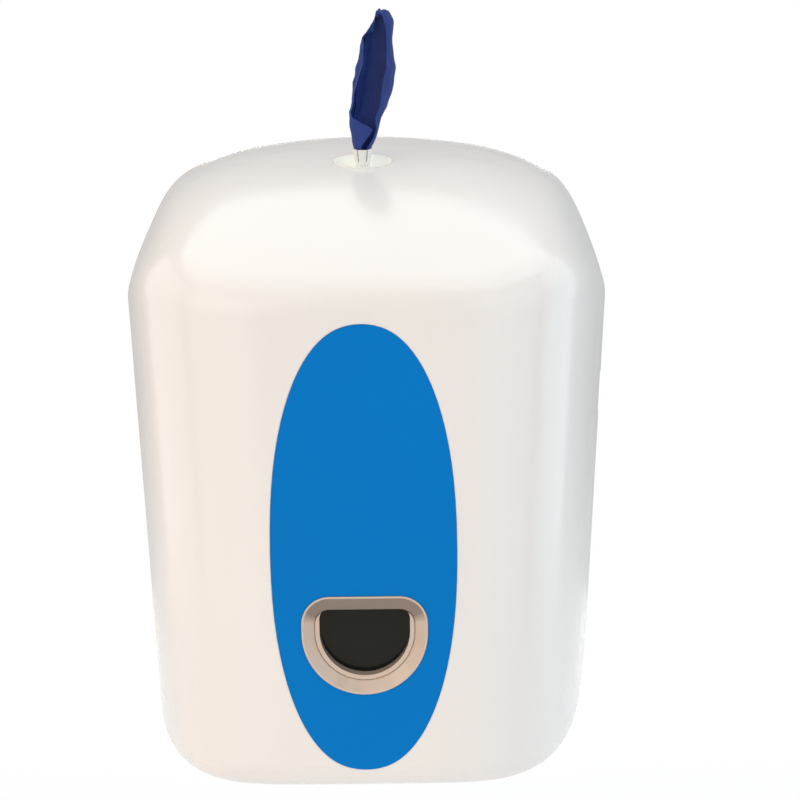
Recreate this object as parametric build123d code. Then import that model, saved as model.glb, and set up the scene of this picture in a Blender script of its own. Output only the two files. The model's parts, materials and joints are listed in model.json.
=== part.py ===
from build123d import *
import math
import os

# Wall-mounted dispenser for a centre-feed roll of wet wipes, in millimetres.
# Everything is placed by three numbers: across (x), out from the wall (s, so y is -s) and height
# above the cover's lowest edge (h). The export at the end moves the origin to the middle of the
# four wall holes, on the wall plane.

# Cover
cover_width = 260.0
cover_depth = 235.0
cover_height = 294.0
side_lean = 12.5
front_lean = 4.0
cover_wall = 2.6
shoulder_height = 225.0
side_draft = 0.10
plan_across_power = 5.0
plan_out_power = 5.5
hood_fall = 62.0
hood_side_start = 172.0
hood_front_start = 213.0
hood_overhang = 6.0
# The hood's line from its foot to near its ridge, as shares of half its width and of its rise
hood_profile = (
    (1.0, 0.0),
    (0.96, 0.28),
    (0.92, 0.44),
    (0.87, 0.59),
    (0.815, 0.72),
    (0.75, 0.82),
    (0.66, 0.885),
    (0.5, 0.945),
    (0.26, 0.985),
)
shoulder_radius = 26.0
bottom_radius = 12.0

# Wall holes
wall_hole_radius = 2.75
wall_hole_spacing_x = 140.0
wall_hole_spacing_z = 150.0
mount_centre_height = 165.0
wall_pad_radius = 9.0
wall_pad_height = 2.5

# Back plate
plate_thickness = 3.0
plate_gap = 0.8
rim_wall = 2.2
rim_depth = 11.0
low_rim_depth = 4.2
low_rim_height = 12.0
rib_thickness = 2.4
rib_depth = 6.0
rib_x = 90.0
rib_low = 30.0
rib_high = 262.0
cross_rib_heights = (112.0, 212.0)

# Hinge at the lower edge
hinge_out = 14.0
hinge_height = 9.0
hinge_spacing = 150.0
ear_width = 5.0
ear_radius = 5.5
ear_top = 15.5
knuckle_width = 8.0
knuckle_radius = 6.0
knuckle_foot = 12.0
hinge_side_gap = 0.4
hinge_lift_gap = 0.4
pin_radius = 2.0
pin_clearance = 0.05
pin_head_radius = 3.4
pin_head_length = 1.6
swing_edge = 15.0
swing_notch_height = 12.0

# Roll and the shelf that carries it
roll_radius = 95.0
roll_height = 184.0
roll_hole_radius = 12.0
roll_edge_radius = 2.0
roll_out = 118.0
shelf_height = 14.0
shelf_thickness = 3.0
shelf_gap = 1.5
shelf_rim_wall = 2.0
shelf_rim_height = 7.0
shelf_drain_radius = 20.0
shelf_back_width = 120.0
shelf_back_height = 47.0
shelf_boss_length = 6.0
shelf_boss_radius = 5.0
shelf_screw_spacing_x = 84.0
shelf_screw_low = 33.0
shelf_screw_high = 51.0
gusset_length = 24.0
gusset_thickness = 3.0

# Screws
screw_radius = 1.9
screw_head_radius = 3.8
screw_head_height = 2.4
screw_length = 8.0
screw_gap = 0.05
small_screw_radius = 1.2
small_head_radius = 2.2
small_head_height = 1.6
small_screw_length = 6.0
driver_slot_width = 0.8
driver_slot_depth = 0.8

# Release buttons in the side notches
button_height = 155.0
notch_out = 14.5
notch_rise = 22.0
notch_corner = 4.0
button_rise = 16.4
button_low_out = 5.3
button_high_out = 12.2
button_recess = 2.8
button_dome = 1.6
button_travel = 3.0
button_length = 14.8
button_flange = 2.0
button_flange_thickness = 3.0
button_gap = 0.35
button_stop_gap = 0.05
guide_wall = 4.5
guide_end_wall = 2.6
guide_length = 22.0
guide_spare = 1.5
keeper_thickness = 2.0
guide_floor = 1.5

# Coloured panel on the front
panel_width = 85.5
panel_low = 10.0
panel_high = 218.0
panel_power = 2.25
panel_sunk = 0.9
panel_proud = 0.3
panel_gap = 0.15
peg_radius = 2.0
peg_reach = 2.0
peg_gap = 0.1
pad_radius = 5.6
pad_height = 0.8
washer_radius = 5.0
washer_thickness = 0.8
peg_spots = ((0.0, 200.0), (-30.0, 140.0), (30.0, 140.0), (0.0, 30.0))

# Window in the panel
window_centre = 79.0
window_half_width = 29.2
window_drop = 33.0
window_rise = 13.5
window_corner = 13.0
window_gap = 0.15
surround_proud = 0.7
surround_edge = 1.0
bevel_width = 6.0
bevel_top_width = 7.0
bevel_depth = 3.2
bevel_cover = 0.4
flange_width = 3.0
flange_thickness = 1.9
frame_gap = 0.3
frame_wall = 2.0
frame_set_back = 2.8
frame_depth = 10.0
frame_flange_thickness = 1.8
pane_overlap = 2.5
pane_thickness = 1.5
pane_gap = 0.3
retainer_back_wall = 2.0
retainer_ear_thickness = 3.0
retainer_screw_x = 37.2
retainer_screw_low = -19.0
retainer_screw_high = 5.0
retainer_boss_radius = 4.0
retainer_boss_foot = 2.9

# Dish and nozzle in the hood
dish_radius = 14.5
dish_gap = 0.12
dish_lip = 1.0
bowl_depth = 4.0
collar_radius = 20.0
collar_foot = 1.3
collar_drop = 7.0
dish_flange_thickness = 2.0
nozzle_neck_radius = 3.0
nozzle_wall = 0.9
nozzle_rise = 10.4
nozzle_flare = 2.0
nozzle_flange_radius = 9.0
nozzle_flange_thickness = 1.5
nozzle_gap = 0.15
petal_count = 6
petal_slit = 0.6
petal_depth = 6.0
clamp_ring_thickness = 2.0
clamp_ring_hole_radius = 6.0
nozzle_screw_circle = 17.25
nozzle_screw_count = 3

# Wipe, as a rope from the roll's hole to the nozzle and an opened tuft above it
strip_radius = 8.0
strip_foot = 120.0
strip_neck_height = 196.0
strip_gap = 0.5
wipe_gap = 0.3
fold_count = 5
fold_depth = 0.16
tuft_thickness = 0.58
# The tuft's rows: height above the nozzle, lean across and half width
tuft_rows = (
    (8.0, 0.3, 9.2),
    (24.0, 3.4, 10.9),
    (40.0, 5.7, 10.7),
    (55.0, 6.8, 9.2),
    (66.5, 8.4, 5.4),
)

curve_angles = (0, 2, 8, 20, 35, 50, 62, 72, 80, 86)
loft_shares = (-0.05, 0.17, 0.38, 0.59, 0.8, 1.0)
on_base = (Align.CENTER, Align.CENTER, Align.MIN)

wall_slope = side_lean / shoulder_height
front_slope = front_lean / shoulder_height
plate_inset = cover_wall + plate_gap
shelf_seat = plate_thickness + shelf_boss_length
shelf_screw_seat = shelf_seat + shelf_thickness
shelf_radius = roll_radius + shelf_gap + shelf_rim_wall
retainer_front = cover_wall + flange_thickness + frame_flange_thickness
retainer_back = frame_depth + pane_thickness + retainer_back_wall
collar_flange_drop = collar_drop + dish_flange_thickness
nozzle_flange_drop = collar_flange_drop - clamp_ring_thickness - nozzle_flange_thickness


def block(x, s, h):
    """A box from its ranges across, out from the wall and up."""
    centre = Pos((x[0] + x[1]) / 2, -(s[0] + s[1]) / 2, (h[0] + h[1]) / 2)
    return centre * Box(abs(x[1] - x[0]), s[1] - s[0], h[1] - h[0])


def rod_across(radius, x, s, h):
    """A round bar along X."""
    return Pos((x[0] + x[1]) / 2, -s, h) * Rot(0, 90, 0) * Cylinder(radius, abs(x[1] - x[0]))


def rod_out(radius, x, s, h):
    """A round bar along the way out from the wall."""
    return Pos(x, -(s[0] + s[1]) / 2, h) * Rot(90, 0, 0) * Cylinder(radius, s[1] - s[0])


def rod_up(radius, x, s, h):
    """A round bar along Z."""
    return Pos(x, -s, (h[0] + h[1]) / 2) * Cylinder(radius, h[1] - h[0])


def mirrored(shape):
    """The shape's mirror image across the middle."""
    return mirror(shape, Plane.YZ)


# The cover's form, which is also the form of whatever lies an inset inside it


def half_width_at(h, inset):
    """Half the walls' width at the wall plane."""
    return cover_width / 2 - side_lean + wall_slope * h - inset


def depth_at(h, inset):
    """How far the front stands out at a height."""
    return cover_depth - front_lean + front_slope * h - inset


def plan_curve(h, inset):
    """The walls' line at one height, from the wall plane round the front and back to it."""
    half_width = half_width_at(h, inset)
    depth = depth_at(h, inset)
    right = []
    for angle in curve_angles:
        turn = math.radians(angle)
        out = depth * math.sin(turn) ** (2 / plan_out_power)
        across = (half_width - side_draft * out) * math.cos(turn) ** (2 / plan_across_power)
        right.append(Vector(across, -out, h))
    left = [Vector(-p.X, p.Y, h) for p in reversed(right)]
    return Spline(*right, Vector(0, -depth, h), *left)


def plan_face(h, inset):
    """A level slice of the walls, closed along the wall plane."""
    curve = plan_curve(h, inset)
    return Face(Wire([curve, Line(curve @ 1, curve @ 0)]))


def wall_form(inset):
    """The walls as a solid, taller than the hood."""
    top = cover_height + shoulder_radius
    return loft([plan_face(inset, inset), plan_face(top, inset)], ruled=True)


def front_skin(deep, shallow):
    """The layer of the walls between two insets."""
    faces = []
    for h in (0, cover_height):
        inside = plan_curve(h, deep)
        outside = plan_curve(h, shallow)
        ends = [Line(inside @ 1, outside @ 1), Line(outside @ 0, inside @ 0)]
        faces.append(Face(Wire([inside, ends[0], outside, ends[1]])))
    return loft(faces, ruled=True)


def crown_height(out):
    """Height of the hood's ridge at a distance out from the wall."""
    return cover_height - hood_fall * (max(out, 0) / cover_depth) ** 3


def hood_face(out, inset):
    """An upright slice under the hood, parallel to the wall."""
    share = out / cover_depth
    start = hood_side_start + (hood_front_start - hood_side_start) * share
    rise = crown_height(out) - inset - start
    half = cover_width / 2 - side_draft * out + hood_overhang - inset
    right = [Vector(half * across, -out, start + rise * up) for across, up in hood_profile]
    left = [Vector(-p.X, p.Y, p.Z) for p in reversed(right)]
    crown = Vector(0, -out, start + rise)
    arch = Spline(*right, crown, *left, tangents=[(0, 0, 1), (0, 0, -1)])
    low = -cover_wall
    foot = Polyline(arch @ 1, Vector(-half, -out, low), Vector(half, -out, low), arch @ 0)
    return Face(Wire([arch, *foot.edges()]))


def cover_form(inset):
    """The solid inside the cover's outer face, or inside a face that lies an inset further in."""
    reach = cover_depth + hood_overhang
    hood = loft([hood_face(reach * share, inset) for share in loft_shares])
    form = wall_form(inset) & hood
    long_edge = cover_depth + cover_width
    round_edges = [e for e in form.edges() if e.length > long_edge * 0.9]
    crease = [e for e in round_edges if e.center().Z > shoulder_height / 2]
    form = fillet(crease, shoulder_radius - inset)
    round_edges = [e for e in form.edges() if e.length > long_edge * 0.9]
    foot = [e for e in round_edges if e.center().Z < inset + 1]
    return fillet(foot, bottom_radius - inset)


def front_out(across, h):
    """How far out the front face is at a point across and up."""
    depth = depth_at(h, 0)
    out = depth
    for _ in range(6):
        half = half_width_at(h, 0) - side_draft * out
        out = depth * (1 - (abs(across) / half) ** plan_across_power) ** (1 / plan_out_power)
    return out


def hollow(outer, inner):
    """The wall between two forms that share an open side on the wall plane."""
    mouths = []
    for form in (outer, inner):
        mouths.append(min(form.faces(), key=lambda f: abs(f.center().Y)))
    ring = Face(mouths[0].outer_wire(), [mouths[1].outer_wire()])
    skins = [f for f in outer.faces() + inner.faces() if not any(f.is_same(m) for m in mouths)]
    return Solid(Shell([*skins, ring]))


# Cover


def side_notch():
    """The cut in the rear side edges that lets a fingertip reach the release buttons."""
    plane = Plane(origin=(-cover_width, 0, button_height), x_dir=(0, -1, 0), z_dir=(1, 0, 0))
    outline = plane * RectangleRounded(2 * notch_out, notch_rise, notch_corner)
    return extrude(outline, amount=2 * cover_width, dir=(1, 0, 0))


def knuckle(x):
    """A hinge knuckle that stands on the cover's bottom wall."""
    ends = (x - knuckle_width / 2, x + knuckle_width / 2)
    body = rod_across(knuckle_radius, ends, hinge_out, hinge_height)
    foot = block(ends, (hinge_out, hinge_out + knuckle_foot), (cover_wall / 2, hinge_height))
    bore = rod_across(pin_radius + pin_clearance, (ends[0] - 1, ends[1] + 1), hinge_out, hinge_height)
    return body + foot - bore


def panel_prism(margin):
    """The panel's rounded outline, run through the front wall."""
    half_width = panel_width / 2 + margin
    half_height = (panel_high - panel_low) / 2 + margin
    points = []
    for step in range(24):
        turn = math.tau * step / 24
        across = math.copysign(abs(math.cos(turn)) ** (2 / panel_power), math.cos(turn))
        up = math.copysign(abs(math.sin(turn)) ** (2 / panel_power), math.sin(turn))
        points.append((half_width * across, half_height * up))
    start = cover_depth / 2
    plane = Plane(origin=(0, -start, (panel_low + panel_high) / 2), x_dir=(1, 0, 0), z_dir=(0, -1, 0))
    return extrude(plane * make_face(Spline(*points, periodic=True)), amount=cover_depth, dir=(0, -1, 0))


def peg_seat(x, h):
    """How far out a peg's washer sits."""
    return front_out(x, h) - cover_wall - pad_height


def peg_pad(x, h):
    seat = peg_seat(x, h)
    return rod_out(pad_radius, x, (seat, seat + cover_wall), h)


def panel_peg(x, h, radius):
    seat = peg_seat(x, h)
    return rod_out(radius, x, (seat - peg_reach, front_out(x, h) - panel_sunk / 2), h)


def window_plane(drop):
    """A plane parallel to the front at the window, a drop below its surface."""
    out = Vector(0, -1, -front_slope).normalized()
    surface = Vector(0, -depth_at(window_centre, 0), window_centre)
    return Plane(origin=surface - out * drop, x_dir=(1, 0, 0), z_dir=out)


def window_sketch(inset, top_inset=None):
    """The window's outline: a flat top with round corners and a half-round foot."""
    half_width = window_half_width - inset
    arc_centre = window_half_width - window_drop
    top = window_rise - (inset if top_inset is None else top_inset)
    upper = Pos(0, (top + arc_centre) / 2) * Rectangle(2 * half_width, top - arc_centre)
    corners = upper.vertices().group_by(Axis.Y)[-1]
    lower = Pos(0, arc_centre - half_width / 2) * Rectangle(2 * half_width, half_width)
    foot = Pos(0, arc_centre) * Circle(half_width) & lower
    return fillet(corners, max(window_corner - inset, 1)) + foot


def window_block(sketch, deep, shallow):
    """A sketch on the window's plane run from one drop to another."""
    return extrude(window_plane(deep) * sketch, amount=deep - shallow, dir=window_plane(0).z_dir)


def window_screw_spots():
    spots = []
    for x in (-retainer_screw_x, retainer_screw_x):
        for y in (retainer_screw_low, retainer_screw_high):
            spots.append((x, y))
    return spots


def window_bosses():
    """The posts on the cover's inner face that take the window's screws."""
    posts = []
    for x, y in window_screw_spots():
        outline = Pos(x, y) * Circle(retainer_boss_radius)
        posts.append(window_block(outline, retainer_front, retainer_boss_foot))
    return posts


def window_screw_holes():
    holes = []
    depth = retainer_front + retainer_ear_thickness - small_screw_length
    for x, y in window_screw_spots():
        hole = Pos(x, y) * Circle(small_screw_radius + screw_gap)
        holes.append(window_block(hole, retainer_front + 1, depth - screw_gap))
    return holes


def hood_plane(drop):
    """A plane that lies on the hood above the roll's middle, a drop below its surface."""
    fall = 3 * hood_fall * roll_out**2 / cover_depth**3
    out = Vector(0, -fall, 1).normalized()
    surface = Vector(0, -roll_out, crown_height(roll_out))
    return Plane(origin=surface - out * drop, x_dir=(1, 0, 0), z_dir=out)


def hood_disc(radius, deep, shallow):
    """A round disc across the hood's axis, between two drops."""
    return hood_plane(deep) * Cylinder(radius, deep - shallow, align=on_base)


def nozzle_screw_spots():
    spots = []
    for step in range(nozzle_screw_count):
        turn = math.tau * (step + 0.25) / nozzle_screw_count
        spots.append((nozzle_screw_circle * math.cos(turn), nozzle_screw_circle * math.sin(turn)))
    return spots


def nozzle_screw_holes():
    top = collar_flange_drop + clamp_ring_thickness - small_screw_length - screw_gap
    length = collar_flange_drop + clamp_ring_thickness + 1 - top
    holes = []
    for x, y in nozzle_screw_spots():
        hole = Pos(x, y) * Cylinder(small_screw_radius + screw_gap, length, align=on_base)
        holes.append(hood_plane(top + length) * hole)
    return holes


def make_cover_shell():
    side = cover_width
    added = [knuckle(-hinge_spacing / 2), knuckle(hinge_spacing / 2)]
    added += [peg_pad(x, h) for x, h in peg_spots]
    added += window_bosses()
    added.append(hood_disc(collar_radius, collar_drop, collar_foot))
    cuts = [side_notch()]
    cuts.append(panel_prism(panel_gap) & front_skin(panel_sunk, -cover_wall))
    cuts += [panel_peg(x, h, peg_radius + peg_gap) for x, h in peg_spots]
    cuts.append(window_block(window_sketch(0), retainer_front, -cover_wall))
    cuts += window_screw_holes()
    cuts.append(hood_disc(dish_radius, collar_drop + 1, -cover_wall))
    cuts += nozzle_screw_holes()
    rear = block((-side, side), (-1, swing_edge), (-1, swing_notch_height))
    return (hollow(cover_form(0), cover_form(cover_wall)) - rear + added) - cuts


def make_front_panel():
    panel = panel_prism(0) & front_skin(panel_sunk, -panel_proud)
    panel = panel - window_block(window_sketch(0), retainer_front, -cover_wall)
    for x, h in peg_spots:
        panel = panel + panel_peg(x, h, peg_radius)
    return panel


def make_panel_washers():
    washers = []
    for x, h in peg_spots:
        seat = peg_seat(x, h)
        disc = rod_out(washer_radius, x, (seat - washer_thickness, seat), h)
        washers.append(disc - rod_out(peg_radius + screw_gap, x, (seat - cover_wall, seat + 1), h))
    return Compound(children=washers)


# Window


def make_window_surround():
    plug = window_block(window_sketch(window_gap), cover_wall + flange_thickness, -surround_proud)
    flange = window_block(window_sketch(-flange_width), cover_wall + flange_thickness, cover_wall / 2)
    ring = plug + (flange & wall_form(cover_wall))
    wide = window_plane(-surround_proud) * window_sketch(surround_edge)
    opening = window_sketch(bevel_width, bevel_top_width)
    narrow = window_plane(bevel_depth) * opening
    through = window_block(opening, cover_wall + flange_thickness + 1, -surround_proud - 1)
    return ring - loft([narrow, wide], ruled=True) - through


def window_hole():
    """The frame's opening, whose top edge the surround's bevel covers."""
    return window_sketch(bevel_width + frame_gap + frame_wall, bevel_top_width - bevel_cover)


def make_window_frame():
    outer = bevel_width + frame_gap
    seat = retainer_front - frame_flange_thickness
    lip = window_block(window_sketch(outer, bevel_top_width + frame_gap), retainer_front, frame_set_back)
    tube_outline = window_sketch(outer, bevel_top_width - bevel_cover - frame_wall)
    tube = window_block(tube_outline, frame_depth, seat)
    flange = window_block(window_sketch(-flange_width), retainer_front, seat)
    return tube + flange + lip - window_block(window_hole(), frame_depth + 1, 0)


def make_window_pane():
    outline = window_sketch(bevel_width + frame_gap - pane_overlap)
    return window_block(outline, frame_depth + pane_thickness, frame_depth)


def make_window_retainer():
    ear = retainer_boss_radius + 0.5
    rise = retainer_screw_high - retainer_screw_low + 2 * ear
    middle = (retainer_screw_high + retainer_screw_low) / 2
    ears = Pos(0, middle) * RectangleRounded(2 * (retainer_screw_x + ear), rise, ear - 0.1)
    body = window_block(window_sketch(-flange_width), retainer_back, retainer_front)
    body = body + window_block(ears, retainer_front + retainer_ear_thickness, retainer_front)
    pocket = window_sketch(bevel_width + frame_gap - pane_overlap - pane_gap)
    body = body - window_block(pocket, frame_depth + pane_thickness, retainer_front - 1)
    body = body - window_block(window_hole(), retainer_back + 1, 0)
    for x, y in window_screw_spots():
        hole = Pos(x, y) * Circle(small_screw_radius + screw_gap)
        body = body - window_block(hole, retainer_back, retainer_front - 1)
    return body


def screw(radius, head_radius, head_height, length):
    """A screw that stands on its tip, with its head up and a cross cut in it."""
    body = Cylinder(radius, length, align=on_base)
    head = Pos(0, 0, length) * Cylinder(head_radius, head_height, align=on_base)
    slot = Box(1.4 * head_radius, driver_slot_width, 2 * driver_slot_depth)
    cross = Pos(0, 0, length + head_height) * (slot + Rot(0, 0, 90) * slot)
    return body + head - cross


def small_screw():
    return screw(small_screw_radius, small_head_radius, small_head_height, small_screw_length)


def make_window_screws():
    tip = retainer_front + retainer_ear_thickness - small_screw_length
    flip = Rot(180, 0, 0)
    screws = [window_plane(tip) * Pos(x, y, 0) * flip * small_screw() for x, y in window_screw_spots()]
    return Compound(children=screws)


# Nozzle


def make_nozzle_dish():
    body = hood_disc(dish_radius - dish_gap, collar_flange_drop, 0)
    body = body + hood_disc(collar_radius, collar_flange_drop, collar_drop)
    lip = dish_radius - dish_gap - dish_lip
    ball_radius = (lip**2 + bowl_depth**2) / (2 * bowl_depth)
    body = body - hood_plane(bowl_depth - ball_radius) * Sphere(ball_radius)
    body = body - hood_disc(nozzle_neck_radius + nozzle_gap, collar_flange_drop, 0)
    body = body - hood_disc(nozzle_flange_radius + nozzle_gap, collar_flange_drop + 1, nozzle_flange_drop)
    return body - nozzle_screw_holes()


def make_nozzle():
    tip = bowl_depth - nozzle_rise
    flange_foot = nozzle_flange_drop + nozzle_flange_thickness
    neck = hood_disc(nozzle_neck_radius, flange_foot, bowl_depth)
    flange = hood_disc(nozzle_flange_radius, flange_foot, nozzle_flange_drop)
    cup = Cone(nozzle_neck_radius, nozzle_neck_radius + nozzle_flare, nozzle_rise, align=on_base)
    bore = nozzle_neck_radius - nozzle_wall
    mouth = Cone(bore, bore + nozzle_flare, nozzle_rise, align=on_base)
    body = neck + flange + hood_plane(bowl_depth) * cup
    body = body - hood_plane(bowl_depth) * mouth
    body = body - hood_disc(bore, flange_foot + 1, bowl_depth - 0.01)
    reach = 2 * (nozzle_neck_radius + nozzle_flare) + 2
    for step in range(petal_count // 2):
        slit = Box(reach, petal_slit, petal_depth, align=on_base)
        body = body - hood_plane(tip + petal_depth - 0.01) * Rot(0, 0, 360 * step / petal_count) * slit
    return body


def make_nozzle_clamp():
    deep = collar_flange_drop + clamp_ring_thickness
    plate = hood_disc(collar_radius, deep, collar_flange_drop)
    spigot = hood_disc(nozzle_flange_radius, deep, nozzle_flange_drop + nozzle_flange_thickness)
    ring = plate + spigot - hood_disc(clamp_ring_hole_radius, deep + 1, nozzle_flange_drop)
    return ring - nozzle_screw_holes()


def make_nozzle_screws():
    tip = collar_flange_drop + clamp_ring_thickness - small_screw_length
    flip = Rot(180, 0, 0)
    screws = [hood_plane(tip) * Pos(x, y, 0) * flip * small_screw() for x, y in nozzle_screw_spots()]
    return Compound(children=screws)


# Back plate


def ear(x):
    """A hinge ear that reaches from the plate to the pin, clear of the cover's bottom wall."""
    ends = (x - ear_width / 2, x + ear_width / 2)
    arm = block(ends, (plate_thickness / 2, hinge_out), (hinge_height + hinge_lift_gap, ear_top))
    eye = rod_across(ear_radius, ends, hinge_out, hinge_height)
    bore = rod_across(pin_radius + pin_clearance, (ends[0] - 1, ends[1] + 1), hinge_out, hinge_height)
    return arm + eye - bore


def ear_offset():
    """From a knuckle's middle to an ear's middle."""
    return knuckle_width / 2 + hinge_side_gap + ear_width / 2


def guide_outer_x():
    """Where the right button guide's end wall meets the plate's rim."""
    return half_width_at(button_height, plate_inset) - side_draft * rim_depth - rim_wall / 2


def button_tip_x():
    return half_width_at(button_height, button_recess)


def guide_chamber_x():
    """The outer end of the chamber that holds the right button's flange."""
    return guide_outer_x() - guide_end_wall


def button_guide_solid():
    """The right button's guide before its chamber is cut."""
    rise = button_rise / 2 + button_flange + button_gap + guide_wall
    x = (guide_outer_x() - guide_length, guide_outer_x())
    return block(x, (plate_thickness / 2, keeper_seat()), (button_height - rise, button_height + rise))


def keeper_seat():
    """How far out the keeper lies on the guide."""
    return button_high_out + button_gap


def button_guide_space():
    """The chamber for the flange, and the way out through the rim."""
    rise = button_rise / 2 + button_flange + button_gap
    inner = button_tip_x() - button_length - button_travel - guide_spare
    floor = plate_thickness + guide_floor
    heights = (button_height - rise, button_height + rise)
    chamber = block((inner, guide_chamber_x()), (floor, keeper_seat() + 1), heights)
    slot = button_rise / 2 + button_gap
    way = (button_low_out - button_gap, keeper_seat())
    heights = (button_height - slot, button_height + slot)
    passage = block((inner, guide_outer_x() + cover_wall + rim_wall), way, heights)
    return chamber + passage


def keeper_screw_spots():
    rise = button_rise / 2 + button_flange + button_gap + guide_wall / 2
    x = guide_outer_x() - guide_length / 2
    return [(x, button_height - rise), (x, button_height + rise)]


def keeper_screw_holes():
    seat = keeper_seat() + keeper_thickness
    holes = []
    for x, h in keeper_screw_spots():
        reach = (seat - small_screw_length - screw_gap, seat + 1)
        holes.append(rod_out(small_screw_radius + screw_gap, x, reach, h))
    return holes


def plate_ribs():
    half = rib_thickness / 2
    out = (plate_thickness / 2, plate_thickness + rib_depth)
    ribs = [block((x - half, x + half), out, (rib_low, rib_high)) for x in (-rib_x, rib_x)]
    ribs += [block((-rib_x, rib_x), out, (h - half, h + half)) for h in cross_rib_heights]
    return ribs


def shelf_screw_spots():
    half = shelf_screw_spacing_x / 2
    return [(x, h) for x in (-half, half) for h in (shelf_screw_low, shelf_screw_high)]


def wall_hole_spots():
    half_x = wall_hole_spacing_x / 2
    half_z = wall_hole_spacing_z / 2
    heights = (mount_centre_height - half_z, mount_centre_height + half_z)
    return [(x, h) for x in (-half_x, half_x) for h in heights]


def make_back_plate():
    side = cover_width
    tall = (-1, cover_height)
    foot = plate_thickness / 2
    right_guide = button_guide_solid()
    right_space = button_guide_space()
    slab = cover_form(plate_inset) & block((-side, side), (0, rim_depth), tall)
    pocket = cover_form(plate_inset + rim_wall) & block((-side, side), (plate_thickness, rim_depth + 1), tall)
    added = plate_ribs() + [right_guide, mirrored(right_guide)]
    added += [rod_out(shelf_boss_radius, x, (foot, shelf_seat), h) for x, h in shelf_screw_spots()]
    pad_reach = (foot, plate_thickness + wall_pad_height)
    added += [rod_out(wall_pad_radius, x, pad_reach, h) for x, h in wall_hole_spots()]
    for x in (-hinge_spacing / 2, hinge_spacing / 2):
        added += [ear(x - ear_offset()), ear(x + ear_offset())]
    cuts = [right_space, mirrored(right_space)]
    tip = shelf_screw_seat - screw_length - screw_gap
    cuts += [rod_out(screw_radius + screw_gap, x, (tip, shelf_screw_seat), h) for x, h in shelf_screw_spots()]
    cuts += [rod_out(wall_hole_radius, x, (-1, rim_depth), h) for x, h in wall_hole_spots()]
    for hole in keeper_screw_holes():
        cuts += [hole, mirrored(hole)]
    low_rim = block((-side, side), (low_rim_depth, rim_depth + 1), (0, low_rim_height))
    return (slab - pocket - low_rim + added) - cuts


def make_hinge_pins():
    middle = hinge_spacing / 2
    half = knuckle_width / 2 + hinge_side_gap + ear_width
    right = rod_across(pin_radius, (middle - half, middle + half), hinge_out, hinge_height)
    head = (middle + half, middle + half + pin_head_length)
    right = right + rod_across(pin_head_radius, head, hinge_out, hinge_height)
    return Compound(children=[right, mirrored(right)])


# Release buttons


def make_release_button():
    """The right button: a rounded nose, a flat stem and a flange that stops it in its guide."""
    rise = button_rise / 2
    out = (button_low_out, button_high_out)
    tip = button_tip_x()
    stem = block((tip - button_length, tip), out, (button_height - rise, button_height + rise))
    dome_radius = (rise**2 + button_dome**2) / (2 * button_dome)
    dome = rod_out(dome_radius, tip - dome_radius, (0, cover_depth), button_height)
    stem = stem & dome
    outer = guide_chamber_x() - button_stop_gap
    low = plate_thickness + guide_floor + button_gap
    heights = (button_height - rise - button_flange, button_height + rise + button_flange)
    return stem + block((outer - button_flange_thickness, outer), (low, button_high_out), heights)


def make_button_keeper():
    """The right guide's flat lid."""
    rise = button_rise / 2 + button_flange + button_gap + guide_wall
    x = (guide_outer_x() - guide_length, guide_outer_x())
    out = (keeper_seat(), keeper_seat() + keeper_thickness)
    lid = block(x, out, (button_height - rise, button_height + rise))
    return lid - keeper_screw_holes()


def make_button_keepers():
    right = make_button_keeper()
    return Compound(children=[right, mirrored(right)])


def make_keeper_screws():
    seat = keeper_seat() + keeper_thickness
    screws = []
    for x, h in keeper_screw_spots():
        right = Pos(x, -(seat - small_screw_length), h) * Rot(90, 0, 0) * small_screw()
        screws += [right, mirrored(right)]
    return Compound(children=screws)


# Shelf and roll


def gusset(x):
    """A triangular web between the shelf's back and its floor."""
    corner = Vector(x - gusset_thickness / 2, -shelf_seat - shelf_thickness / 2, shelf_height)
    out = Vector(0, -gusset_length - shelf_thickness, 0)
    up = Vector(0, 0, shelf_back_height)
    web = make_face(Polyline(corner, corner + out, corner + up, close=True))
    return extrude(web, amount=gusset_thickness, dir=(1, 0, 0))


def make_roll_shelf():
    floor_top = shelf_height + shelf_thickness
    rim_top = floor_top + shelf_rim_height
    half = shelf_back_width / 2
    back_top = shelf_height + shelf_back_height
    shelf = rod_up(shelf_radius, 0, roll_out, (shelf_height, rim_top))
    shelf = shelf + block((-half, half), (shelf_seat, roll_out), (shelf_height, floor_top))
    shelf = shelf + block((-half, half), (shelf_seat, shelf_seat + shelf_thickness), (shelf_height, back_top))
    shelf = shelf + [gusset(gusset_thickness / 2 - half), gusset(half - gusset_thickness / 2)]
    inside = roll_radius + shelf_gap
    cuts = [rod_up(inside, 0, roll_out, (floor_top, rim_top + shelf_back_height))]
    cuts.append(rod_up(shelf_drain_radius, 0, roll_out, (0, floor_top + 1)))
    for x, h in shelf_screw_spots():
        cuts.append(rod_out(screw_radius + screw_gap, x, (shelf_seat - 1, shelf_screw_seat + 1), h))
    return shelf - cuts


def make_shelf_screws():
    screws = []
    for x, h in shelf_screw_spots():
        body = screw(screw_radius, screw_head_radius, screw_head_height, screw_length)
        screws.append(Pos(x, -(shelf_screw_seat - screw_length), h) * Rot(90, 0, 0) * body)
    return Compound(children=screws)


def make_wipe_roll():
    foot = shelf_height + shelf_thickness
    body = rod_up(roll_radius, 0, roll_out, (foot, foot + roll_height))
    body = fillet(body.edges().filter_by(GeomType.CIRCLE), roll_edge_radius)
    return body - rod_up(roll_hole_radius, 0, roll_out, (foot - 1, foot + roll_height + 1))


# Wipe


def folded_section(plane, across, out, phase):
    """A closed section with soft folds round it."""
    points = []
    for step in range(4 * fold_count):
        turn = math.tau * step / (4 * fold_count)
        size = 1 - fold_depth + fold_depth * math.cos(fold_count * turn + phase)
        points.append((across * size * math.cos(turn), out * size * math.sin(turn)))
    return plane * make_face(Spline(*points, periodic=True))


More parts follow.
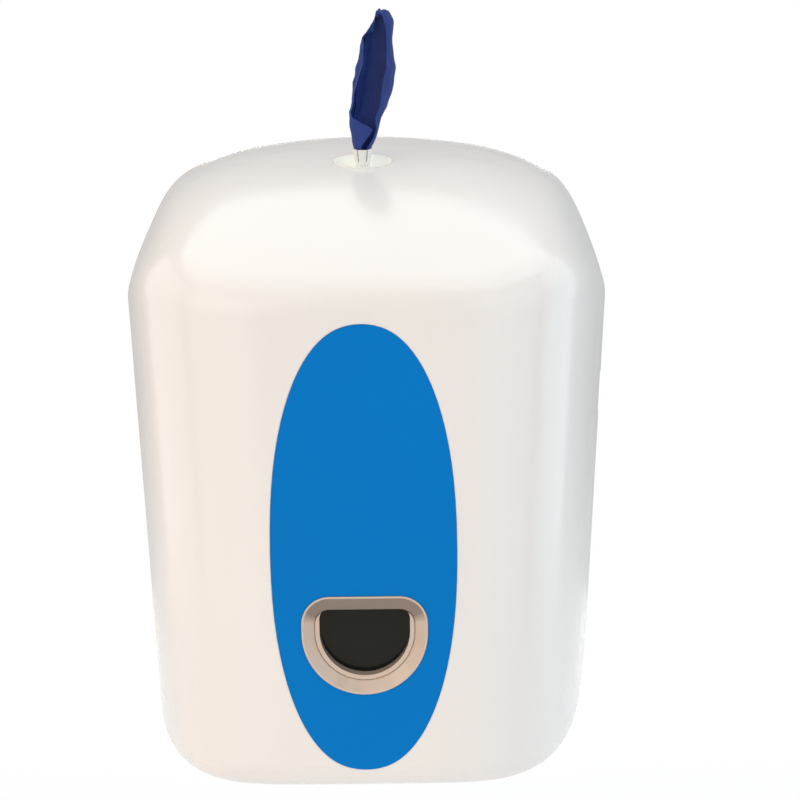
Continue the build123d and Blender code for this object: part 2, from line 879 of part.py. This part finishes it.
def level_plane(x, s, h):
    return Plane(origin=(x, -s, h), x_dir=(1, 0, 0), z_dir=(0, 0, 1))


def make_wipe_strip():
    bore = nozzle_neck_radius - nozzle_wall - wipe_gap
    end = nozzle_flange_drop + nozzle_flange_thickness + strip_gap
    low = folded_section(level_plane(0, roll_out, strip_foot), strip_radius, strip_radius, 0)
    neck = folded_section(level_plane(0, roll_out, strip_neck_height), strip_radius, strip_radius, 0.6)
    top = folded_section(hood_plane(end), bore, bore, 1.2)
    return loft([low, neck], ruled=True) + loft([neck, top], ruled=True)


def make_wipe_tuft():
    bore = nozzle_neck_radius - nozzle_wall - wipe_gap
    tip = bowl_depth - nozzle_rise
    foot = folded_section(hood_plane(nozzle_flange_drop + nozzle_flange_thickness), bore, bore, 0)
    neck = folded_section(hood_plane(bowl_depth), bore, bore, 0)
    lip = folded_section(hood_plane(tip), bore + nozzle_flare, bore + nozzle_flare, 0)
    sections = [lip]
    for step, (rise, lean, half_width) in enumerate(tuft_rows):
        plane = level_plane(lean, -hood_plane(tip).origin.Y, hood_plane(tip).origin.Z + rise)
        sections.append(folded_section(plane, half_width, half_width * tuft_thickness, 0.25 * (step + 1)))
    return loft([foot, neck], ruled=True) + loft([neck, lip], ruled=True) + loft(sections)


nodes = {
    "back_plate": make_back_plate,
    "roll_shelf": make_roll_shelf,
    "shelf_screws": make_shelf_screws,
    "wipe_roll": make_wipe_roll,
    "wipe_strip": make_wipe_strip,
    "hinge_pins": make_hinge_pins,
    "button_keepers": make_button_keepers,
    "keeper_screws": make_keeper_screws,
    "release_button_right": make_release_button,
    "release_button_left": lambda: mirrored(make_release_button()),
    "cover_shell": make_cover_shell,
    "front_panel": make_front_panel,
    "panel_washers": make_panel_washers,
    "window_surround": make_window_surround,
    "window_frame": make_window_frame,
    "window_pane": make_window_pane,
    "window_retainer": make_window_retainer,
    "window_screws": make_window_screws,
    "nozzle_dish": make_nozzle_dish,
    "nozzle": make_nozzle,
    "nozzle_clamp": make_nozzle_clamp,
    "nozzle_screws": make_nozzle_screws,
    "wipe_tuft": make_wipe_tuft,
}

os.makedirs("parts", exist_ok=True)
for name, make in nodes.items():
    export_step(Pos(0, 0, -mount_centre_height) * make(), f"parts/{name}.step")
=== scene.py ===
import json
import math

import bmesh
import bpy
from mathutils import Matrix, Vector, noise


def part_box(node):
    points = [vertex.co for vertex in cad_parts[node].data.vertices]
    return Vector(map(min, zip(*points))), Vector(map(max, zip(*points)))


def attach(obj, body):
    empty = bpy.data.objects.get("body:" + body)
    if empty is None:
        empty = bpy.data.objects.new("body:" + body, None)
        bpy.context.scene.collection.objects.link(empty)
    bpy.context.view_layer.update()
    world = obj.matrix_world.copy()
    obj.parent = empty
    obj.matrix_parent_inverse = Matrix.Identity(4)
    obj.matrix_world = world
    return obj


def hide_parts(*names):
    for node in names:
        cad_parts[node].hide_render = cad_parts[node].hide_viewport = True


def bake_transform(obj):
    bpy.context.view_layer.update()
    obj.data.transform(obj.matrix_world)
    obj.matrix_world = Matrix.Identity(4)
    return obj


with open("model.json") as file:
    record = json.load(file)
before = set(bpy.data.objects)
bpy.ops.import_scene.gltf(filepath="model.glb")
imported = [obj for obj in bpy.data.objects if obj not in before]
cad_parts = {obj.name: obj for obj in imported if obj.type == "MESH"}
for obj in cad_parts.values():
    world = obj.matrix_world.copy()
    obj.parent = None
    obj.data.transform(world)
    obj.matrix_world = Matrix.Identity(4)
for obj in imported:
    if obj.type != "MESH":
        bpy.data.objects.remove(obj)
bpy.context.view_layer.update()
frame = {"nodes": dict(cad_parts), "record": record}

# Sizes taken from the solids' design, in metres, heights above the cover's lowest edge
ORIGIN_HEIGHT = 0.165
ROLL_OUT = 0.118
COVER_HEIGHT = 0.294
COVER_DEPTH = 0.235
HOOD_FALL = 0.062
NOZZLE_BORE = 0.0021
NOZZLE_FLARE = 0.0020
NOZZLE_RISE = 0.0104
BOWL_DEPTH = 0.004
STRIP_FOOT = 0.121
STRIP_NECK = 0.196
STRIP_RADIUS = 0.0078


def at(x, out, height):
    """A point of the row frame from across, out from the wall and up."""
    return Vector((x, -out, height - ORIGIN_HEIGHT))


# Materials


def new_material(name):
    mat = bpy.data.materials.new(name)
    mat.use_nodes = True
    nodes = mat.node_tree.nodes
    nodes.clear()
    out = nodes.new("ShaderNodeOutputMaterial")
    shader = nodes.new("ShaderNodeBsdfPrincipled")
    mat.node_tree.links.new(shader.outputs[0], out.inputs["Surface"])
    return mat, mat.node_tree, shader


def add(tree, kind, **values):
    """A node with its plain properties and unlinked inputs set."""
    node = tree.nodes.new(kind)
    for key, value in values.items():
        if hasattr(node, key):
            setattr(node, key, value)
        else:
            node.inputs[key.replace("_", " ")].default_value = value
    return node


def object_noise(tree, scale, detail=3.0, rough=0.5, stretch=None):
    """Noise laid out in the object's own metres."""
    place = add(tree, "ShaderNodeTexCoord")
    source = place.outputs["Object"]
    if stretch:
        mapping = add(tree, "ShaderNodeMapping")
        mapping.inputs["Scale"].default_value = stretch
        tree.links.new(source, mapping.inputs["Vector"])
        source = mapping.outputs[0]
    cloud = add(tree, "ShaderNodeTexNoise", Scale=scale, Detail=detail, Roughness=rough)
    tree.links.new(source, cloud.inputs["Vector"])
    return cloud.outputs[0]


def ramp(tree, source, low, high, start=0.2, end=0.8):
    """Noise turned into a run between two colours."""
    node = add(tree, "ShaderNodeValToRGB")
    node.color_ramp.elements[0].position = start
    node.color_ramp.elements[1].position = end
    node.color_ramp.elements[0].color = (*low, 1)
    node.color_ramp.elements[1].color = (*high, 1)
    tree.links.new(source, node.inputs[0])
    return node.outputs[0]


def spread(tree, source, low, high):
    """Noise stretched over a range of values."""
    node = add(tree, "ShaderNodeMapRange")
    node.inputs["To Min"].default_value = low
    node.inputs["To Max"].default_value = high
    node.inputs["From Min"].default_value = 0.15
    node.inputs["From Max"].default_value = 0.85
    tree.links.new(source, node.inputs[0])
    return node.outputs[0]


def bump(tree, shader, heights, distance, strength=1.0):
    node = add(tree, "ShaderNodeBump")
    node.inputs["Strength"].default_value = strength
    node.inputs["Distance"].default_value = distance
    tree.links.new(heights, node.inputs["Height"])
    tree.links.new(node.outputs[0], shader.inputs["Normal"])


def moulded(name, low, high, rough=(0.2, 0.28), coat=0.35, grain=900.0, grain_depth=0.00002, shine=0.5):
    """Injection-moulded plastic: faint flow patches, varied gloss and a fine orange peel."""
    mat, tree, shader = new_material(name)
    patches = object_noise(tree, 9.0, 4.0)
    tree.links.new(ramp(tree, patches, low, high), shader.inputs["Base Color"])
    wear = object_noise(tree, 38.0, 5.0, 0.6)
    tree.links.new(spread(tree, wear, *rough), shader.inputs["Roughness"])
    shader.inputs["Coat Weight"].default_value = coat
    shader.inputs["Coat Roughness"].default_value = 0.16
    shader.inputs["IOR"].default_value = 1.5
    shader.inputs["Specular IOR Level"].default_value = shine
    bump(tree, shader, object_noise(tree, grain, 2.0), grain_depth)
    return mat


def steel_material(name):
    mat, tree, shader = new_material(name)
    streaks = object_noise(tree, 60.0, 4.0, 0.6, (1.0, 1.0, 9.0))
    tree.links.new(ramp(tree, streaks, (0.48, 0.48, 0.47), (0.66, 0.66, 0.67)), shader.inputs["Base Color"])
    tree.links.new(spread(tree, streaks, 0.24, 0.4), shader.inputs["Roughness"])
    shader.inputs["Metallic"].default_value = 1.0
    bump(tree, shader, streaks, 0.00003)
    return mat


def pane_material(name):
    mat, tree, shader = new_material(name)
    haze = object_noise(tree, 45.0, 4.0)
    tint = ramp(tree, haze, (0.005, 0.008, 0.005), (0.009, 0.012, 0.008))
    tree.links.new(tint, shader.inputs["Base Color"])
    tree.links.new(spread(tree, haze, 0.04, 0.1), shader.inputs["Roughness"])
    shader.inputs["Transmission Weight"].default_value = 0.25
    shader.inputs["IOR"].default_value = 1.49
    shader.inputs["Specular IOR Level"].default_value = 0.1
    bump(tree, shader, haze, 0.00002)
    return mat


def nozzle_material(name):
    mat, tree, shader = new_material(name)
    milk = object_noise(tree, 160.0, 3.0)
    tree.links.new(ramp(tree, milk, (0.96, 0.96, 0.93), (0.98, 0.98, 0.955)), shader.inputs["Base Color"])
    tree.links.new(spread(tree, milk, 0.4, 0.55), shader.inputs["Roughness"])
    shader.inputs["Transmission Weight"].default_value = 0.12
    shader.inputs["Subsurface Weight"].default_value = 0.4
    shader.inputs["Subsurface Radius"].default_value = (0.004, 0.004, 0.004)
    shader.inputs["IOR"].default_value = 1.45
    bump(tree, shader, object_noise(tree, 900.0, 2.0), 0.00003)
    return mat


def wipe_material(name, low, high, sheen):
    """Damp non-woven cloth: pressed dots over loose fibres, darker where it is wetter."""
    mat, tree, shader = new_material(name)
    damp = object_noise(tree, 55.0, 5.0, 0.6)
    tree.links.new(ramp(tree, damp, low, high, 0.25, 0.75), shader.inputs["Base Color"])
    tree.links.new(spread(tree, damp, 0.62, 0.85), shader.inputs["Roughness"])
    shader.inputs["Sheen Weight"].default_value = sheen
    shader.inputs["Sheen Roughness"].default_value = 0.5
    place = add(tree, "ShaderNodeTexCoord")
    dots = add(tree, "ShaderNodeTexVoronoi", Scale=620.0, Randomness=0.25)
    tree.links.new(place.outputs["Object"], dots.inputs["Vector"])
    fibres = object_noise(tree, 2600.0, 4.0, 0.7, (1.0, 1.0, 0.35))
    both = add(tree, "ShaderNodeMath", operation="ADD")
    tree.links.new(dots.outputs["Distance"], both.inputs[0])
    tree.links.new(fibres, both.inputs[1])
    bump(tree, shader, both.outputs[0], 0.00012, 0.8)
    return mat


def paint_shade_below(mat, painted_shade_colour):
    """Painted shade: faces that lean downward get a dark colour mixed into this pearly plastic's base
    colour.
    """
    tree = mat.node_tree
    shader = next(node for node in tree.nodes if node.type == "BSDF_PRINCIPLED")
    plain = shader.inputs["Base Color"].links[0].from_socket
    place = add(tree, "ShaderNodeTexCoord")
    split = add(tree, "ShaderNodeSeparateXYZ")
    tree.links.new(place.outputs["Normal"], split.inputs[0])
    share = add(tree, "ShaderNodeMapRange")
    share.inputs["From Min"].default_value = -0.05
    share.inputs["From Max"].default_value = -0.3
    tree.links.new(split.outputs["Z"], share.inputs[0])
    mix = add(tree, "ShaderNodeMix", data_type="RGBA")
    # a colour mix has its own sockets: 0 is the share, 6 and 7 the two colours, 2 the result
    # the painted shade colour given to downward-facing faces
    mix.inputs[7].default_value = (*painted_shade_colour, 1)
    tree.links.new(share.outputs[0], mix.inputs[0])
    tree.links.new(plain, mix.inputs[6])
    tree.links.new(mix.outputs[2], shader.inputs["Base Color"])


materials = {
    "cover_plastic": moulded("cover_white", (0.855, 0.8, 0.76), (0.885, 0.83, 0.79)),
    "white_plastic": moulded("inner_white", (0.78, 0.77, 0.74), (0.83, 0.82, 0.8), (0.3, 0.42), 0.1),
    "cream_plastic": moulded("window_cream_painted_shade", (0.6, 0.455, 0.355), (0.68, 0.525, 0.415), (0.08, 0.14), 0.9),
    "ivory_plastic": moulded("dish_ivory", (0.94, 0.93, 0.83), (0.96, 0.95, 0.87), (0.3, 0.4), 0.15),
    "blue_plastic": moulded(
        "panel_blue", (0.0008, 0.18, 0.54), (0.001, 0.193, 0.58), (0.4, 0.5),
        coat=0.0, grain=1400.0, shine=0.05,
    ),
    "clear_plastic": nozzle_material("nozzle_clear"),
    "smoked_pane": pane_material("pane_smoked"),
    "steel": steel_material("zinc_steel"),
    "wipe": wipe_material("wipe_navy", (0.006, 0.024, 0.150), (0.013, 0.046, 0.275), 0.03),
}

# painted shade: the window surround's downward-facing bevels are darkened in its base colour
paint_shade_below(materials["cream_plastic"], (0.23, 0.16, 0.12))

for row in frame["record"]["subparts"]:
    node = frame["nodes"][row["node"]]
    node.data.materials.clear()
    node.data.materials.append(materials[row["material_slot"]])


# Wipe: one sheet that runs from inside the roll, through the nozzle, and opens above it


def crown_height(out):
    return COVER_HEIGHT - HOOD_FALL * (out / COVER_DEPTH) ** 3


def smooth(share):
    share = min(max(share, 0.0), 1.0)
    return share * share * (3 - 2 * share)


LAYERS = 6
LAYER_STEP = 0.042
LIP_STEP = 0.13
ACROSS = 288
ROPE_ROWS = 24
NECK_ROWS = 90
BORE_ROWS = 6
NOZZLE_ROWS = 8
TUFT_ROW = 0.0007
BORE_FILL = 0.88
ROPE_LIPS = (-0.10, 0.10)
TIP_DROP = 0.0105
EDGE_RIPPLE = 0.0016
hood_slope = 3 * HOOD_FALL * ROLL_OUT**2 / COVER_DEPTH**3
hood_out = Vector((0, -hood_slope, 1)).normalized()
hood_point = at(0, ROLL_OUT, crown_height(ROLL_OUT))
nozzle_foot = hood_point - hood_out * 0.0075
nozzle_floor = hood_point - hood_out * BOWL_DEPTH
nozzle_tip = hood_point + hood_out * (NOZZLE_RISE - BOWL_DEPTH)
# height above the nozzle's tip, lean across, half width, half depth, and where the sheet's left and
# right lips lie, as angles from straight ahead
TUFT = (
    (0.0000, 0.0000, 0.0042, 0.0039, -0.15, 0.45),
    (0.0008, 0.0001, 0.0047, 0.0043, -0.10, 0.50),
    (0.0030, 0.0005, 0.0056, 0.0047, 0.10, 0.62),
    (0.0060, 0.0010, 0.0064, 0.0051, 0.38, 0.75),
    (0.0090, 0.0012, 0.0071, 0.0055, 0.62, 0.82),
    (0.0105, 0.0013, 0.0075, 0.0057, 0.35, 0.72),
    (0.0125, 0.0015, 0.0079, 0.0060, -0.20, 0.60),
    (0.0150, 0.0019, 0.0083, 0.0062, -0.85, 0.52),
    (0.0176, 0.0025, 0.0092, 0.0066, -1.00, 0.48),
    (0.0205, 0.0035, 0.0097, 0.0069, -0.95, 0.46),
    (0.0260, 0.0043, 0.0099, 0.0070, -0.85, 0.48),
    (0.0330, 0.0053, 0.0097, 0.0069, -0.80, 0.50),
    (0.0384, 0.0069, 0.0094, 0.0067, -0.80, 0.50),
    (0.0443, 0.0072, 0.0089, 0.0064, -0.80, 0.50),
    (0.0500, 0.0073, 0.0087, 0.0062, -0.85, 0.52),
    (0.0560, 0.0074, 0.0083, 0.0060, -0.90, 0.55),
    (0.0598, 0.0076, 0.0079, 0.0057, -0.95, 0.50),
    (0.0630, 0.0080, 0.0066, 0.0050, -0.95, 0.40),
    (0.0652, 0.0082, 0.0052, 0.0042, -0.85, 0.35),
    (0.0662, 0.0080, 0.0036, 0.0032, -0.70, 0.30),
    (0.0656, 0.0076, 0.0022, 0.0022, -0.60, 0.30),
    (0.0636, 0.0072, 0.0014, 0.0016, -0.60, 0.30),
)
TUFT_TOP = max(row[0] for row in TUFT)


def between(a, b, share):
    return tuple(p + (q - p) * share for p, q in zip(a, b))


def rope_rows():
    """Centre, half width, half depth, lips and share of the tuft, from the roll to the tip."""
    rows = []
    low = at(0, ROLL_OUT, STRIP_FOOT)
    neck = at(0, ROLL_OUT, STRIP_NECK)
    bore = NOZZLE_BORE * BORE_FILL
    lips = ROPE_LIPS
    for step in range(ROPE_ROWS):
        rows.append((low.lerp(neck, step / ROPE_ROWS), STRIP_RADIUS, STRIP_RADIUS, *lips, -1))
    for step in range(NECK_ROWS):
        share = step / NECK_ROWS
        radius = STRIP_RADIUS + (bore - STRIP_RADIUS) * share**3
        rows.append((neck.lerp(nozzle_foot, share), radius, radius, *lips, -1))
    for step in range(BORE_ROWS):
        rows.append((nozzle_foot.lerp(nozzle_floor, step / BORE_ROWS), bore, bore, *lips, -1))
    for step in range(NOZZLE_ROWS):
        share = step / NOZZLE_ROWS
        radius = bore + NOZZLE_FLARE * 0.9 * share
        lip = between(lips, TUFT[0][4:], share)
        rows.append((nozzle_floor.lerp(nozzle_tip, share), radius, radius * 0.95, *lip, -1))
    for low, high in zip(TUFT, TUFT[1:]):
        steps = max(3, round((high[0] - low[0]) / TUFT_ROW))
        for step in range(steps):
            rise, lean, wide, deep, left, right = between(low, high, step / steps)
            rows.append((nozzle_tip + Vector((lean, 0, rise)), wide, deep, left, right, rise / TUFT_TOP))
    rise, lean, wide, deep, left, right = TUFT[-1]
    rows.append((nozzle_tip + Vector((lean, 0, rise)), wide, deep, left, right, rise / TUFT_TOP))
    return rows


def cloth_point(share_across, row, index):
    """A point of the folded sheet: it lies to and fro round the back, open at the front."""
    centre, wide, deep, left, right, tuft = row
    turn = share_across * LAYERS
    swing = 0.5 - 0.5 * math.cos(math.pi * turn)
    inner = LIP_STEP * turn
    angle = (left - inner) + ((right + inner) - math.tau - (left - inner)) * swing
    radius = 1 - LAYER_STEP * turn
    open_share = max(tuft, 0)
    wave = noise.noise(Vector((1.7 * math.sin(angle), 1.7 * math.cos(angle) + 0.1 * turn, index * 0.05)))
    fine = noise.noise(Vector((4.5 * math.sin(angle), 4.5 * math.cos(angle) + 0.2 * turn, index * 0.09)))
    radius *= 1 + (0.2 * wave + 0.07 * fine) * (0.15 + 0.85 * smooth(open_share * 3))
    x = wide * radius * math.sin(angle)
    y = -deep * radius * math.cos(angle)
    height = 0.0
    if tuft > 0:
        drop = min(max((-0.05 - x / wide) / 0.95, 0), 1) ** 1.2
        height = -TIP_DROP * drop * tuft**3 + EDGE_RIPPLE * (wave + fine) * tuft
    return centre + Vector((x, y, height))


def mesh_object(name, data, material):
    obj = bpy.data.objects.new(name, data)
    bpy.context.scene.collection.objects.link(obj)
    data.materials.append(material)
    for face in data.polygons:
        face.use_smooth = True
    return obj


def make_wipe():
    rows = rope_rows()
    mesh = bmesh.new()
    grid = []
    for index, row in enumerate(rows):
        grid.append([mesh.verts.new(cloth_point(step / ACROSS, row, index)) for step in range(ACROSS + 1)])
    for low, high in zip(grid, grid[1:]):
        for step in range(ACROSS):
            mesh.faces.new((low[step], low[step + 1], high[step + 1], high[step]))
    data = bpy.data.meshes.new("wipe")
    mesh.to_mesh(data)
    mesh.free()
    return mesh_object("wipe", data, materials["wipe"])


wipe = make_wipe()
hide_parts("wipe_strip", "wipe_tuft")
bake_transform(wipe)


# Roll: the wound pack that the wipe is drawn from

ROLL_HOLE = 0.012
ROLL_EDGE = 0.002
ROLL_RINGS = 46
RING_HEIGHT = 0.0007
ROLL_TOP = 0.0008
ROLL_COLUMNS = 180
ROLL_ROWS = 60
EDGE_STEPS = 6


def make_roll():
    """The pack's turned profile, with its wound layers on the top end and a soft outer wrap."""
    low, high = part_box("wipe_roll")
    centre = Vector(((low.x + high.x) / 2, (low.y + high.y) / 2, 0))
    outer = (high.x - low.x) / 2
    profile = []
    steps = ROLL_RINGS * 4
    for step in range(steps + 1):
        share = step / steps
        radius = ROLL_HOLE + (outer - ROLL_EDGE - ROLL_HOLE) * share
        ridge = RING_HEIGHT * abs(math.sin(math.pi * ROLL_RINGS * share))
        profile.append((radius, high.z - ROLL_TOP + ridge - RING_HEIGHT * (1 - share)))
    for step in range(1, EDGE_STEPS):
        turn = math.pi / 2 * step / EDGE_STEPS
        radius = outer - ROLL_EDGE + ROLL_EDGE * math.sin(turn)
        profile.append((radius, high.z - ROLL_EDGE + ROLL_EDGE * math.cos(turn)))
    for step in range(ROLL_ROWS):
        height = high.z - ROLL_EDGE - (high.z - low.z - 2 * ROLL_EDGE) * step / (ROLL_ROWS - 1)
        profile.append((outer, height))
    profile.append((outer - ROLL_EDGE, low.z))
    profile.append((ROLL_HOLE, low.z))
    mesh = bmesh.new()
    columns = []
    for step in range(ROLL_COLUMNS):
        turn = math.tau * step / ROLL_COLUMNS
        column = []
        for radius, height in profile:
            point = Vector((radius * math.cos(turn), radius * math.sin(turn), height))
            soft = noise.noise(Vector((point.x * 22, point.y * 22, point.z * 9)))
            push = min(max(0.0009 * soft - 0.0004, -0.0012), 0) if radius > outer - 0.0021 else 0
            point.x *= 1 + push / radius
            point.y *= 1 + push / radius
            column.append(mesh.verts.new(point + centre))
        columns.append(column)
    for step in range(ROLL_COLUMNS):
        near, far = columns[step], columns[(step + 1) % ROLL_COLUMNS]
        for row in range(len(profile)):
            nxt = (row + 1) % len(profile)
            mesh.faces.new((near[row], far[row], far[nxt], near[nxt]))
    bmesh.ops.recalc_face_normals(mesh, faces=mesh.faces)
    data = bpy.data.meshes.new("wound_roll")
    mesh.to_mesh(data)
    mesh.free()
    return mesh_object("wound_roll", data, materials["wipe"])


roll = make_roll()
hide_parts("wipe_roll")
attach(roll, "back")

# Camera, where the photo was taken from

CAMERA_PLACE = (0.020, -1.35, 0.175)
CAMERA_DOWN = math.radians(8.5)
CAMERA_ROLL = math.radians(-0.6)
SENSOR = 36.0
PICTURE = 800
FOCAL_PIXELS = 2490
AXIS_PIXEL = (406.0, 422)

camera_data = bpy.data.cameras.new("camera")
camera = bpy.data.objects.new("camera", camera_data)
bpy.context.scene.collection.objects.link(camera)
camera.location = CAMERA_PLACE
tilt = Matrix.Rotation(math.pi / 2 - CAMERA_DOWN, 4, "X") @ Matrix.Rotation(CAMERA_ROLL, 4, "Z")
camera.rotation_euler = tilt.to_euler()
camera_data.sensor_width = SENSOR
camera_data.lens = SENSOR * FOCAL_PIXELS / PICTURE
camera_data.shift_x = (PICTURE / 2 - AXIS_PIXEL[0]) / PICTURE
camera_data.shift_y = (AXIS_PIXEL[1] - PICTURE / 2) / PICTURE
camera_data.clip_start = 0.01
camera_data.clip_end = 30
bpy.context.scene.camera = camera


# Light and stage


def area_light(name, place, aim, size, power, color):
    data = bpy.data.lights.new(name, "AREA")
    data.shape = "RECTANGLE"
    data.size, data.size_y = size
    data.energy = power
    data.color = color
    obj = bpy.data.objects.new(name, data)
    obj.location = place
    obj.rotation_euler = (Vector(aim) - Vector(place)).to_track_quat("-Z", "Y").to_euler()
    bpy.context.scene.collection.objects.link(obj)


area_light("key", (-1.1, -1.7, 1.5), (0, -0.1, 0), (2.2, 2.2), 10.5, (1.0, 0.88, 0.76))
area_light("warm", (-0.9, -1.1, 0.1), (0, -0.1, 0), (1.3, 1.9), 5.5, (1.0, 0.82, 0.62))
area_light("cool", (0.9, -1.1, 0.1), (0, -0.1, 0), (1.3, 1.9), 5.5, (0.66, 0.85, 1.0))
area_light("wall_left", (-1.5, 0.35, 0.2), (0, -0.1, 0), (1.6, 2.2), 7, (1.0, 0.97, 0.94))
area_light("wall_right", (1.5, 0.35, 0.2), (0, -0.1, 0), (1.2, 2.2), 7.5, (0.82, 0.92, 1.0))
area_light("top", (0.1, 0.1, 1.9), (0, -0.12, 0), (2.8, 2.6), 25, (0.92, 0.985, 1.0))
area_light("low", (-0.2, -1.2, -0.35), (0, -0.15, -0.15), (0.8, 0.4), 0.5, (1.0, 0.75, 0.55))
area_light("back", (0, 1.6, -0.1), (0, 0, 0), (0.5, 0.5), 5, (1.0, 1.0, 1.0))


def make_world():
    world = bpy.data.worlds.new("studio")
    bpy.context.scene.world = world
    world.use_nodes = True
    tree = world.node_tree
    tree.nodes.clear()
    out = add(tree, "ShaderNodeOutputWorld")
    seen = add(tree, "ShaderNodeBackground")
    seen.inputs["Color"].default_value = (1, 1, 1, 1)
    light = add(tree, "ShaderNodeBackground")
    light.inputs["Color"].default_value = (0.97, 0.98, 1, 1)
    light.inputs["Strength"].default_value = 0.45
    path = add(tree, "ShaderNodeLightPath")
    mix = add(tree, "ShaderNodeMixShader")
    tree.links.new(path.outputs["Is Camera Ray"], mix.inputs[0])
    tree.links.new(light.outputs[0], mix.inputs[1])
    tree.links.new(seen.outputs[0], mix.inputs[2])
    tree.links.new(mix.outputs[0], out.inputs["Surface"])


make_world()

FLOOR_HEIGHT = -0.47
FLOOR_RADIUS = 3.0


def make_floor():
    """A pale round floor that fades into the white surround at its rim."""
    mesh = bmesh.new()
    bmesh.ops.create_circle(mesh, cap_ends=True, segments=96, radius=FLOOR_RADIUS)
    data = bpy.data.meshes.new("floor")
    mesh.to_mesh(data)
    mesh.free()
    mat = bpy.data.materials.new("floor_pale")
    mat.use_nodes = True
    tree = mat.node_tree
    tree.nodes.clear()
    out = add(tree, "ShaderNodeOutputMaterial")
    paint = add(tree, "ShaderNodeBsdfDiffuse")
    paint.inputs["Color"].default_value = (0.86, 0.86, 0.86, 1)
    glow = add(tree, "ShaderNodeEmission")
    glow.inputs["Color"].default_value = (1, 1, 1, 1)
    place = add(tree, "ShaderNodeTexCoord")
    far = add(tree, "ShaderNodeVectorMath", operation="LENGTH")
    tree.links.new(place.outputs["Object"], far.inputs[0])
    fade = add(tree, "ShaderNodeMapRange")
    fade.inputs["From Min"].default_value = 0.35
    fade.inputs["From Max"].default_value = 1.1
    fade.inputs["To Min"].default_value = 0.45
    tree.links.new(far.outputs["Value"], fade.inputs[0])
    path = add(tree, "ShaderNodeLightPath")
    share = add(tree, "ShaderNodeMath", operation="MULTIPLY")
    tree.links.new(fade.outputs[0], share.inputs[0])
    tree.links.new(path.outputs["Is Camera Ray"], share.inputs[1])
    mix = add(tree, "ShaderNodeMixShader")
    tree.links.new(share.outputs[0], mix.inputs[0])
    tree.links.new(paint.outputs[0], mix.inputs[1])
    tree.links.new(glow.outputs[0], mix.inputs[2])
    tree.links.new(mix.outputs[0], out.inputs["Surface"])
    floor = mesh_object("floor", data, mat)
    floor.location = (0, -0.1, FLOOR_HEIGHT)


make_floor()

bpy.context.scene.view_settings.view_transform = "Standard"
